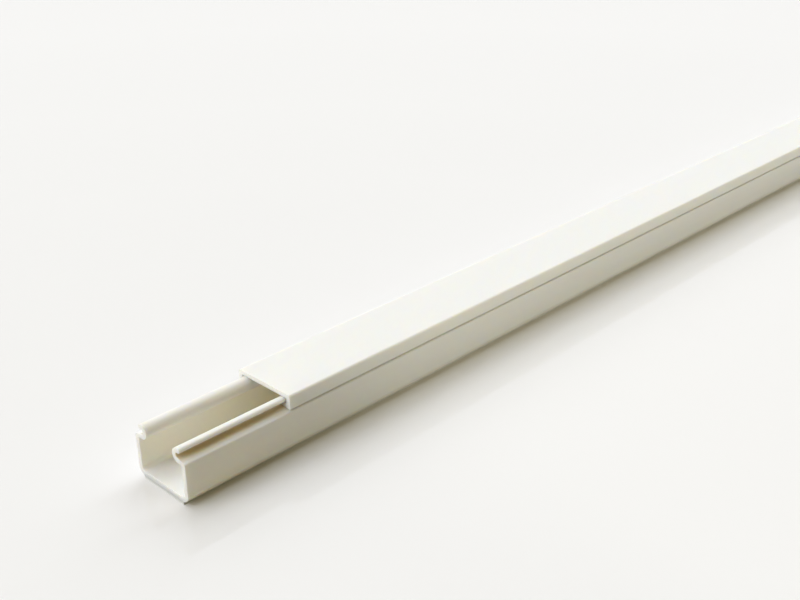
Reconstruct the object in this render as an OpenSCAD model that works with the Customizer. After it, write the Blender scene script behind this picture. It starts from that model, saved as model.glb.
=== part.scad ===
// Mini cable trunking: a U-shaped base with a curled hook along each edge, a lid that
// catches under the hooks, and a self-adhesive tape with its release liner underneath.
// Millimetres, +Z up. The trunking runs along Y, and the origin is the middle of the face
// that it lies on.

/* [Length] */
// Length of the base, the lid, the tape and the liner
stock_len = 1000; // [200:10:3000]
// How far the lid is slid back from the front end of the base
lid_setback = 24; // [0:0.5:150]

/* [Section] */
// Width over the side walls
trunk_w = 15; // [13:0.5:40]
// Height from the underside of the base to the top of the lid
trunk_h = 12; // [8:0.5:40]
// Thickness of the walls and the floor of the base
wall_t = 1; // [0.6:0.05:1.4]
// Outside radius where the walls turn into the floor
corner_r = 1.8; // [0.6:0.1:2.6]
// Inside radius where the walls turn into the floor
floor_fillet_r = 0.8; // [0.2:0.1:1.8]

/* [Hooks] */
// Thickness of the strip that curls round to make a hook
hook_t = 0.95; // [0.6:0.05:1.3]
// Straight run of the top of a hook, from its curl to its rounded tip
tip_len = 0.3; // [0.1:0.05:0.8]
// Gap between the tip of a hook and the leg of the lid
tip_gap = 0.3; // [0.15:0.05:0.6]
// Radius under a hook, where it leaves the wall
hook_fillet_r = 0.5; // [0.2:0.05:1]
// Radius of the outer edge of the shoulder that the lid stands on
shoulder_r = 0.3; // [0.1:0.05:0.6]

/* [Lid] */
// Thickness of the top plate of the lid
lid_t = 0.9; // [0.6:0.05:1.2]
// Depth of the sides of the lid, from its top down to the seam
skirt_h = 3.05; // [2.9:0.05:3.3]
// Thickness of the legs of the lid
leg_t = 1; // [0.7:0.05:1.4]
// Thickness of the toes that catch under the hooks
toe_t = 0.85; // [0.5:0.05:1.1]
// Radius of the top edges of the lid
lid_edge_r = 0.4; // [0.1:0.05:0.6]
// Radius inside the lid, where its plate turns into its legs
lid_fillet_r = 0.2; // [0.05:0.05:0.4]
// Radius of the outer edge at the bottom of the legs
leg_edge_r = 0.15; // [0.05:0.05:0.4]

/* [Fit] */
// Clearance between the lid and the hooks
fit_gap = 0.1; // [0.05:0.01:0.2]
// Gap between the legs of the lid and the shoulders, which shows as the seam
seam_gap = 0.45; // [0.1:0.05:0.5]

/* [Tape] */
// Width of the adhesive tape and of its liner
tape_w = 12; // [6:0.5:12.5]
// Thickness of the adhesive tape
tape_t = 0.5; // [0.2:0.05:1.2]
// Thickness of the release liner
liner_t = 0.1; // [0.05:0.05:0.2]

/* [Hidden] */
$fn = 48;
// How far a sloping face sinks into a round that it meets, so that the two cross
sink = 0.0002;
pvc_white = [0.94, 0.935, 0.91];
foam_white = [0.9, 0.9, 0.88];
liner_white = [0.97, 0.97, 0.97];

half_w = trunk_w / 2;
front_y = -stock_len / 2;
base_z = liner_t + tape_t;
// The sections below are drawn in X and Z, with Z from the underside of the base.
plate_under = trunk_h - lid_t;
leg_bottom = trunk_h - skirt_h;
leg_inner_x = half_w - leg_t;
shoulder_z = leg_bottom - seam_gap;
pocket_h = toe_t + 2 * fit_gap;
hook_top = plate_under - fit_gap;
curl_r = pocket_h / 2 + hook_t;
curl_z = hook_top - curl_r;
tip_x = leg_inner_x - tip_gap - hook_t / 2;
curl_x = tip_x - tip_len;
strip_under = curl_z - curl_r;
pocket_floor = curl_z - pocket_h / 2;
toe_top = curl_z + toe_t / 2;
toe_under = curl_z - toe_t / 2;
shoulder_a = atan2(pocket_floor - shoulder_z, half_w - curl_x);
toe_a = atan2(toe_under - leg_bottom, half_w - curl_x);

// Direction square to a face of the seam that rises inwards at angle a
function seam_normal(a) = [sin(a), cos(a)];

// Centre of the round on an edge of the seam at height z, where side is 1 for the lid's edge
// above the seam and -1 for the base's edge below it
function seam_round(z, r, a, side) = [half_w - r, z + r * (tan(a) + side / cos(a))];

// A section run along Y
module run_along(start_y, length) {
    translate([0, start_y + length, 0])
        rotate([90, 0, 0])
            linear_extrude(height = length)
                children();
}

// A half section run along Y with its mirror image, standing on the tape
module profile(start_y, length) {
    translate([0, 0, base_z]) {
        run_along(start_y, length)
            children();
        mirror([1, 0, 0])
            run_along(start_y, length)
                children();
    }
}

// A quarter-round filler in a corner that faces down and towards the middle
module corner_fillet(corner, r) {
    translate(corner - [r, r])
        difference() {
            square(r);
            circle(r);
        }
}

// Half of a box outline with rounded lower corners
module half_tub(w, h, r) {
    translate([0, r])
        square([w, h - r]);
    square([w - r, r]);
    translate([w - r, r])
        circle(r);
}

// The sloping shoulder that the lid stands on, and the strip that curls round its toe
module hook_section() {
    shoulder_round = seam_round(shoulder_z, shoulder_r, shoulder_a, -1);
    polygon([
        [curl_x, strip_under],
        [half_w, strip_under],
        [half_w, shoulder_round.y],
        shoulder_round + (shoulder_r - sink) * seam_normal(shoulder_a),
        [curl_x, pocket_floor],
    ]);
    translate(shoulder_round)
        circle(shoulder_r);
    translate([curl_x, curl_z])
        intersection() {
            difference() {
                circle(curl_r);
                circle(d = pocket_h);
            }
            translate([-curl_r, -curl_r])
                square([curl_r, 2 * curl_r]);
        }
    translate([curl_x, hook_top - hook_t])
        square([tip_len, hook_t]);
    translate([tip_x, hook_top - hook_t / 2])
        circle(d = hook_t);
    corner_fillet([half_w - wall_t, strip_under], hook_fillet_r);
}

// Half of the base: floor, wall and hook
module base_half() {
    difference() {
        half_tub(half_w, strip_under, corner_r);
        translate([0, wall_t])
            half_tub(half_w - wall_t, strip_under, floor_fillet_r);
    }
    hook_section();
}

// Half of the lid: plate, leg and toe
module lid_half() {
    leg_round = seam_round(leg_bottom, leg_edge_r, toe_a, 1);
    polygon([
        [0, plate_under],
        [leg_inner_x, plate_under],
        [leg_inner_x, toe_top],
        [curl_x, toe_top],
        [curl_x, toe_under],
        leg_round - (leg_edge_r - sink) * seam_normal(toe_a),
        [half_w, leg_round.y],
        [half_w, trunk_h - lid_edge_r],
        [half_w - lid_edge_r, trunk_h],
        [0, trunk_h],
    ]);
    translate([half_w - lid_edge_r, trunk_h - lid_edge_r])
        circle(lid_edge_r);
    translate(leg_round)
        circle(leg_edge_r);
    translate([curl_x, curl_z])
        circle(d = toe_t);
    corner_fillet([leg_inner_x, plate_under], lid_fillet_r);
}

module base() {
    color(pvc_white)
        profile(front_y, stock_len)
            base_half();
}

module lid() {
    color(pvc_white)
        profile(front_y + lid_setback, stock_len)
            lid_half();
}

module adhesive_tape() {
    color(foam_white)
        run_along(front_y, stock_len)
            translate([-tape_w / 2, liner_t])
                square([tape_w, tape_t]);
}

module release_liner() {
    color(liner_white)
        run_along(front_y, stock_len)
            translate([-tape_w / 2, 0])
                square([tape_w, liner_t]);
}

base();
lid();
adhesive_tape();
release_liner();
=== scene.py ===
import math

import bmesh
import bpy
from mathutils import Matrix, Vector


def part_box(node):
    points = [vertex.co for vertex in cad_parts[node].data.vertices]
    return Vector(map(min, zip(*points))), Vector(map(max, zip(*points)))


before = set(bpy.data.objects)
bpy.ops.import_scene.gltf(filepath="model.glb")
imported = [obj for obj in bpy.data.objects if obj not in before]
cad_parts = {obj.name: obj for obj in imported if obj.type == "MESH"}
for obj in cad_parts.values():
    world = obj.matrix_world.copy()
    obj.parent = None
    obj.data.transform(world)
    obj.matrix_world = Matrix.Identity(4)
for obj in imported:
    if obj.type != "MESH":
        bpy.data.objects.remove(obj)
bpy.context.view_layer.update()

MM = 0.001

# Photograph's frame and its camera, placed from the middle of the front end on the floor
PHOTO_W = 800
SENSOR_W = 36.0
FOCAL_PX = 1086.2
CAMERA_FROM_FRONT = Vector((143.1, -86.6, 115.8)) * MM
CAMERA_YAW = math.radians(44.05)
CAMERA_PITCH = math.radians(25.67)
CAMERA_ROLL = math.radians(-0.19)
CAMERA_NEAR = 1 * MM

# Skin of the plastic, how deep light sinks into it, and its sawn ends
BASE_WHITE = (0.908, 0.907, 0.89)
BASE_SHADE = (0.878, 0.872, 0.845)
BASE_DEPTH = 1.0 * MM
LID_WHITE = (0.94, 0.932, 0.905)
LID_SHADE = (0.91, 0.9, 0.868)
LID_DEPTH = 0.9 * MM
PVC_GLOW = (1.15, 1.0, 0.75)
PVC_CUT = (0.978, 0.95, 0.905)
PVC_SAWN = (0.86, 0.845, 0.79)
PVC_ROUGHNESS = 0.30
PVC_RELIEF = 0.03 * MM
DIE_LINES_PER_M = (2600, 3, 2600)
HAZE_PER_M = (60, 18, 60)
SAW_MARKS_PER_M = (240, 1, 5200)
SAWN_FACING = 0.9
BURR_REACH = (0.05 * MM, 0.25 * MM)

# Painted light and shade in the recesses of the base: painted shade along the feet and in the
# notches, and a paler channel with painted warm shade inwards. A pair says where a shade starts to
# change and where it has changed, up from the underside, in from the side or in from a sawn end.
# Painted shade along the feet, darker and warmer towards the underside
FOOT_PAINTED_SHADE = (0.935, 0.865, 0.70)
FOOT_TOP = (0.2 * MM, 1.5 * MM)
# Painted light: the inside of the channel paler than the outside plastic
CHANNEL_PAINTED_LIGHT = (0.985, 0.952, 0.895)
CHANNEL_SIDE = (0.6 * MM, 0.95 * MM)
CHANNEL_FLOOR = (0.4 * MM, 0.8 * MM)
CHANNEL_TOP = (7.5 * MM, 10.0 * MM)
# Painted warm shade inside the channel, growing upwards and in from the sawn ends
INSIDE_PAINTED_WARM_SHADE = (0.98, 0.895, 0.79)
INSIDE_UP = (1.0 * MM, 3.5 * MM)
INSIDE_FROM_END = (8 * MM, 34 * MM)
INSIDE_AT_END = 0.35
# Painted shade in the notches
NOTCH_PAINTED_SHADE = (0.73, 0.67, 0.53)
NOTCH_MOUTH = (0.3 * MM, 2.0 * MM)
NOTCH_BACK = (2.8 * MM, 3.0 * MM)
NOTCH_HEIGHT = 9.5 * MM
NOTCH_EDGE = (0.5 * MM, 0.8 * MM)

# Foam tape
FOAM_WHITE = (0.80, 0.80, 0.77)
FOAM_PORE = (0.62, 0.62, 0.58)
FOAM_ROUGHNESS = 0.72
FOAM_RELIEF = 0.05 * MM
FOAM_CELLS_PER_M = 5200.0
FOAM_CLOUD_PER_M = (300, 300, 300)
PORE_EDGE = (0.1, 0.5)

# Release liner
LINER_WHITE = (0.88, 0.88, 0.87)
LINER_FIBRE = (0.80, 0.80, 0.78)
LINER_ROUGHNESS = 0.32
LINER_GLOSS = 0.3
LINER_RELIEF = 0.012 * MM
LINER_FIBRES_PER_M = (900, 260, 900)
LINER_CLOUD_PER_M = (120, 40, 120)

# Floor and light
FLOOR_WHITE = (0.885, 0.888, 0.90)
FLOOR_BOUNCE = (0.50, 0.50, 0.49)
FLOOR_ROUGHNESS = 0.05
FLOOR_SIZE = 60.0
FLOOR_DROP = 0.02 * MM
SKY_WHITE = (1.0, 1.0, 1.0)
SKY_FILL = (1.0, 0.8, 0.25)
SKY_STRENGTH = 0.18
LEFT_COLOUR = (0.94, 0.945, 1.0)
LEFT_STRENGTH = 1.02
LEFT_FROM = Vector((-1.0, 0.3, 1.1))
LEFT_SPREAD = math.radians(60)
BACK_COLOUR = (0.91, 0.95, 1.0)
BACK_STRENGTH = 1.35
BACK_FROM = Vector((-0.42, 1.0, 0.72))
BACK_SPREAD = math.radians(50)
TOP_COLOUR = (0.82, 0.87, 1.0)
TOP_STRENGTH = 1.0
TOP_FROM = Vector((-0.28, -0.5, 1.0))
TOP_SPREAD = math.radians(50)
FRONT_COLOUR = (0.965, 0.965, 0.945)
FRONT_STRENGTH = 1.34
FRONT_FROM = Vector((-0.24, -1.0, 0.46))
FRONT_SPREAD = math.radians(45)
PANEL_COLOUR = (1.0, 0.96, 0.82)
PANEL_WATTS = 0.039
PANEL_AT = Vector((160, 30, 22)) * MM
PANEL_AIM = Vector((0, 30, 12)) * MM
PANEL_SIZE = (980 * MM, 30 * MM)
PANEL_SPREAD = math.radians(30)

# Places of the colour sockets on a Mix node
MIX_SHARE = 0
MIX_FIRST = 6
MIX_SECOND = 7
MIX_RESULT = 2


class Wire:
    """A socket of a node tree. Sums on it, written as Python expressions, add Math nodes."""

    def __init__(self, tree, socket):
        self.tree = tree
        self.socket = socket

    def math(self, operation, *values):
        sockets = dict(enumerate(values))
        return self.tree.node("ShaderNodeMath", {"operation": operation}, sockets)

    def __add__(self, other):
        return self.math("ADD", self, other)

    def __radd__(self, other):
        return self.math("ADD", other, self)

    def __sub__(self, other):
        return self.math("SUBTRACT", self, other)

    def __rsub__(self, other):
        return self.math("SUBTRACT", other, self)

    def __mul__(self, other):
        return self.math("MULTIPLY", self, other)

    def __rmul__(self, other):
        return self.math("MULTIPLY", other, self)

    def __abs__(self):
        return self.math("ABSOLUTE", self)

    def __gt__(self, other):
        return self.math("GREATER_THAN", self, other)

    def ramp(self, low, high):
        """0 at low, 1 at high, smooth between."""
        return self.tree.node(
            "ShaderNodeMapRange",
            {"interpolation_type": "SMOOTHSTEP"},
            {"Value": self, "From Min": low, "From Max": high},
        )


class Tree:
    """The node tree of a material or of the world."""

    def __init__(self, node_tree):
        self.nodes = node_tree.nodes
        self.links = node_tree.links

    def feed(self, socket, value):
        if isinstance(value, Wire):
            self.links.new(value.socket, socket)
        elif socket.type == "RGBA" and len(value) == 3:
            socket.default_value = (*value, 1.0)
        else:
            socket.default_value = value

    def node(self, kind, settings=None, sockets=None, out=0):
        """Adds a node, its settings before its sockets' values or links, and gives one output."""
        made = self.nodes.new(kind)
        for name, value in (settings or {}).items():
            setattr(made, name, value)
        for name, value in (sockets or {}).items():
            self.feed(made.inputs[name], value)
        return Wire(self, made.outputs[out])

    def mix(self, share, first, second):
        """A colour that goes from first to second."""
        sockets = {MIX_SHARE: share, MIX_FIRST: first, MIX_SECOND: second}
        return self.node("ShaderNodeMix", {"data_type": "RGBA"}, sockets, out=MIX_RESULT)

    def seen(self):
        """1 where it is looked at, straight, in a gloss or through glass, and 0 to other light."""
        looked = self.node("ShaderNodeLightPath", out="Is Camera Ray")
        mirrored = self.node("ShaderNodeLightPath", out="Is Glossy Ray")
        through = self.node("ShaderNodeLightPath", out="Is Transmission Ray")
        return looked + mirrored + through

    def place(self):
        """Where a point is, in the frame of its own piece, in metres."""
        return self.node("ShaderNodeTexCoord", out="Object")

    def axis(self, vector, name):
        return self.node("ShaderNodeSeparateXYZ", None, {0: vector}, out=name)

    def grain(self, per_metre, detail=2.0, roughness=0.5):
        """Noise with its own count of marks a metre along X, Y and Z."""
        scaled = self.node(
            "ShaderNodeVectorMath", {"operation": "MULTIPLY"}, {0: self.place(), 1: per_metre}
        )
        sockets = {"Vector": scaled, "Scale": 1.0, "Detail": detail, "Roughness": roughness}
        return self.node("ShaderNodeTexNoise", None, sockets)


class Finish(Tree):
    """A material with one Principled shader."""

    def __init__(self, name):
        self.material = bpy.data.materials.new(name)
        self.material.use_nodes = True
        super().__init__(self.material.node_tree)
        self.shader = self.nodes["Principled BSDF"]

    def set(self, **values):
        for name, value in values.items():
            self.feed(self.shader.inputs[name.replace("_", " ").title()], value)

    def relief(self, height, depth):
        """Bumps of that depth in metres, where height goes from 0 to 1."""
        sockets = {"Height": height, "Distance": depth, "Strength": 1.0}
        self.set(normal=self.node("ShaderNodeBump", None, sockets))

    def put_on(self, node):
        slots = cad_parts[node].data.materials
        slots.clear()
        slots.append(self.material)


def paint_recess_light_and_shade(pvc, skin, from_end):
    """Painted light and shade in the base's recesses: a paler channel with painted warm shade
    inwards, and painted shade in the notches and along the feet.
    """
    low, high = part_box("base")
    in_from_side = high.x - abs(pvc.axis(pvc.place(), "X"))
    height = pvc.axis(pvc.place(), "Z") - low.z
    # Painted shade: darker and warmer towards the underside, along the feet
    foot_shade = 1 - height.ramp(*FOOT_TOP)
    # Painted light over the inside of the channel
    channel = in_from_side.ramp(*CHANNEL_SIDE) * height.ramp(*CHANNEL_FLOOR)
    channel = channel * (1 - height.ramp(*CHANNEL_TOP))
    # Painted warm shade, growing upwards and in from the sawn ends
    inwards = INSIDE_AT_END + (1 - INSIDE_AT_END) * from_end.ramp(*INSIDE_FROM_END)
    warm_shade = height.ramp(*INSIDE_UP) * inwards
    # Painted shade in the notches
    notch_shade = in_from_side.ramp(*NOTCH_MOUTH) * (1 - in_from_side.ramp(*NOTCH_BACK))
    notch_shade = notch_shade * (1 - abs(height - NOTCH_HEIGHT).ramp(*NOTCH_EDGE))
    skin = pvc.mix(foot_shade, skin, FOOT_PAINTED_SHADE)
    skin = pvc.mix(channel, skin, pvc.mix(warm_shade, CHANNEL_PAINTED_LIGHT, INSIDE_PAINTED_WARM_SHADE))
    return pvc.mix(notch_shade, skin, NOTCH_PAINTED_SHADE)


def rigid_pvc(name, node, white, shade, depth):
    """Extruded rigid PVC: faint die lines along the length, and sawn ends with marks and a burr."""
    low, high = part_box(node)
    middle = (low.y + high.y) / 2
    half_length = (high.y - low.y) / 2
    pvc = Finish(name)
    die_lines = pvc.grain(DIE_LINES_PER_M, detail=3.0)
    haze = pvc.grain(HAZE_PER_M)
    facing = pvc.axis(pvc.node("ShaderNodeNewGeometry", out="Normal"), "Y")
    sawn = abs(facing) > SAWN_FACING
    saw_marks = pvc.grain(SAW_MARKS_PER_M, detail=3.0)
    from_end = half_length - abs(pvc.axis(pvc.place(), "Y") - middle)
    burr = 1 - from_end.ramp(*BURR_REACH)
    skin = pvc.mix(0.45 * die_lines + 0.35 * haze, white, shade)
    # Painted light and shade in the base's recesses, kept off the sawn ends
    if node == "base":
        skin = pvc.mix(sawn, paint_recess_light_and_shade(pvc, skin, from_end), skin)
    pvc.set(
        base_color=pvc.mix(0.75 * burr, skin, pvc.mix(0.7 * saw_marks, PVC_CUT, PVC_SAWN)),
        roughness=PVC_ROUGHNESS + 0.10 * die_lines + 0.06 * haze + 0.28 * burr,
        subsurface_weight=1.0,
        subsurface_radius=PVC_GLOW,
        subsurface_scale=depth,
    )
    pvc.relief(0.35 * die_lines * (1 - sawn) + saw_marks * sawn, PVC_RELIEF)
    pvc.put_on(node)


def foam_tape(name, node):
    """Closed-cell foam, cut through its cells at the edges."""
    foam = Finish(name)
    sockets = {"Vector": foam.place(), "Scale": FOAM_CELLS_PER_M}
    cells = foam.node("ShaderNodeTexVoronoi", {"feature": "F1"}, sockets)
    cloud = foam.grain(FOAM_CLOUD_PER_M)
    pores = 1 - cells.ramp(*PORE_EDGE)
    foam.set(
        base_color=foam.mix(0.6 * pores + 0.25 * cloud, FOAM_WHITE, FOAM_PORE),
        roughness=FOAM_ROUGHNESS + 0.15 * cloud,
    )
    foam.relief(cells, FOAM_RELIEF)
    foam.put_on(node)


def liner_paper(name, node):
    """Release paper: fine fibres under a thin silicone gloss."""
    paper = Finish(name)
    fibres = paper.grain(LINER_FIBRES_PER_M, detail=4.0, roughness=0.65)
    cloud = paper.grain(LINER_CLOUD_PER_M)
    paper.set(
        base_color=paper.mix(0.5 * fibres + 0.3 * cloud, LINER_WHITE, LINER_FIBRE),
        roughness=LINER_ROUGHNESS + 0.16 * cloud,
        coat_weight=LINER_GLOSS,
    )
    paper.relief(fibres, LINER_RELIEF)
    paper.put_on(node)


def floor():
    """A plain white table top with a soft gloss, which throws back less light than it shows."""
    table = bmesh.new()
    bmesh.ops.create_grid(table, x_segments=1, y_segments=1, size=FLOOR_SIZE / 2)
    mesh = bpy.data.meshes.new("floor")
    table.to_mesh(mesh)
    table.free()
    top = bpy.data.objects.new("floor", mesh)
    top.location.z = -FLOOR_DROP
    bpy.context.scene.collection.objects.link(top)
    white = Finish("floor_white")
    white.set(
        base_color=white.mix(white.seen(), FLOOR_BOUNCE, FLOOR_WHITE),
        roughness=FLOOR_ROUGHNESS,
    )
    mesh.materials.append(white.material)


def sun(name, colour, strength, towards, spread):
    """A soft lamp far off, as wide as its spread, that lies towards a direction."""
    lamp = bpy.data.lights.new(name, "SUN")
    lamp.color = colour
    lamp.energy = strength
    lamp.angle = spread
    holder = bpy.data.objects.new(name, lamp)
    holder.rotation_euler = towards.to_track_quat("Z", "Y").to_euler()
    holder.visible_glossy = False
    bpy.context.scene.collection.objects.link(holder)


def panel(name, colour, watts, at, aim, size, spread):
    """A long strip light beside the part, out of the picture, for its side behind the front end."""
    lamp = bpy.data.lights.new(name, "AREA")
    lamp.color = colour
    lamp.energy = watts
    lamp.shape = "RECTANGLE"
    lamp.size, lamp.size_y = size
    lamp.spread = spread
    holder = bpy.data.objects.new(name, lamp)
    holder.location = at
    holder.rotation_euler = (at - aim).to_track_quat("Z", "Y").to_euler()
    holder.visible_camera = False
    holder.visible_glossy = False
    bpy.context.scene.collection.objects.link(holder)


def sky():
    """A warm fill on the object, and plain white where the camera or a gloss looks past it."""
    world = bpy.data.worlds.new("sky")
    world.use_nodes = True
    bpy.context.scene.world = world
    tree = Tree(world.node_tree)
    fill = tree.node("ShaderNodeBackground", None, {"Color": SKY_FILL, "Strength": SKY_STRENGTH})
    white = tree.node("ShaderNodeBackground", None, {"Color": SKY_WHITE, "Strength": 1.0})
    light = tree.node("ShaderNodeMixShader", None, {0: tree.seen(), 1: fill, 2: white})
    tree.feed(tree.nodes["World Output"].inputs["Surface"], light)


def photo_camera():
    """The photograph's view of the front end."""
    forward = Vector((
        -math.sin(CAMERA_YAW) * math.cos(CAMERA_PITCH),
        math.cos(CAMERA_YAW) * math.cos(CAMERA_PITCH),
        -math.sin(CAMERA_PITCH),
    ))
    level = Vector((math.cos(CAMERA_YAW), math.sin(CAMERA_YAW), 0.0))
    above = level.cross(forward)
    right = level * math.cos(CAMERA_ROLL) + above * math.sin(CAMERA_ROLL)
    up = right.cross(forward)
    lens = bpy.data.cameras.new("photo_camera")
    lens.sensor_width = SENSOR_W
    lens.lens = SENSOR_W * FOCAL_PX / PHOTO_W
    lens.clip_start = CAMERA_NEAR
    holder = bpy.data.objects.new("photo_camera", lens)
    front = Vector((0.0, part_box("base")[0].y, 0.0))
    turn = Matrix((right, up, -forward)).transposed().to_4x4()
    holder.matrix_world = Matrix.Translation(front + CAMERA_FROM_FRONT) @ turn
    bpy.context.scene.collection.objects.link(holder)
    bpy.context.scene.camera = holder


rigid_pvc("base_pvc", "base", BASE_WHITE, BASE_SHADE, BASE_DEPTH)
rigid_pvc("lid_pvc", "lid", LID_WHITE, LID_SHADE, LID_DEPTH)
foam_tape("tape_foam", "adhesive_tape")
liner_paper("liner_paper", "release_liner")
floor()
sky()
sun("left_lamp", LEFT_COLOUR, LEFT_STRENGTH, LEFT_FROM, LEFT_SPREAD)
sun("back_lamp", BACK_COLOUR, BACK_STRENGTH, BACK_FROM, BACK_SPREAD)
sun("top_lamp", TOP_COLOUR, TOP_STRENGTH, TOP_FROM, TOP_SPREAD)
sun("front_lamp", FRONT_COLOUR, FRONT_STRENGTH, FRONT_FROM, FRONT_SPREAD)
panel("side_panel", PANEL_COLOUR, PANEL_WATTS, PANEL_AT, PANEL_AIM, PANEL_SIZE, PANEL_SPREAD)
photo_camera()
bpy.context.scene.view_settings.view_transform = "Standard"
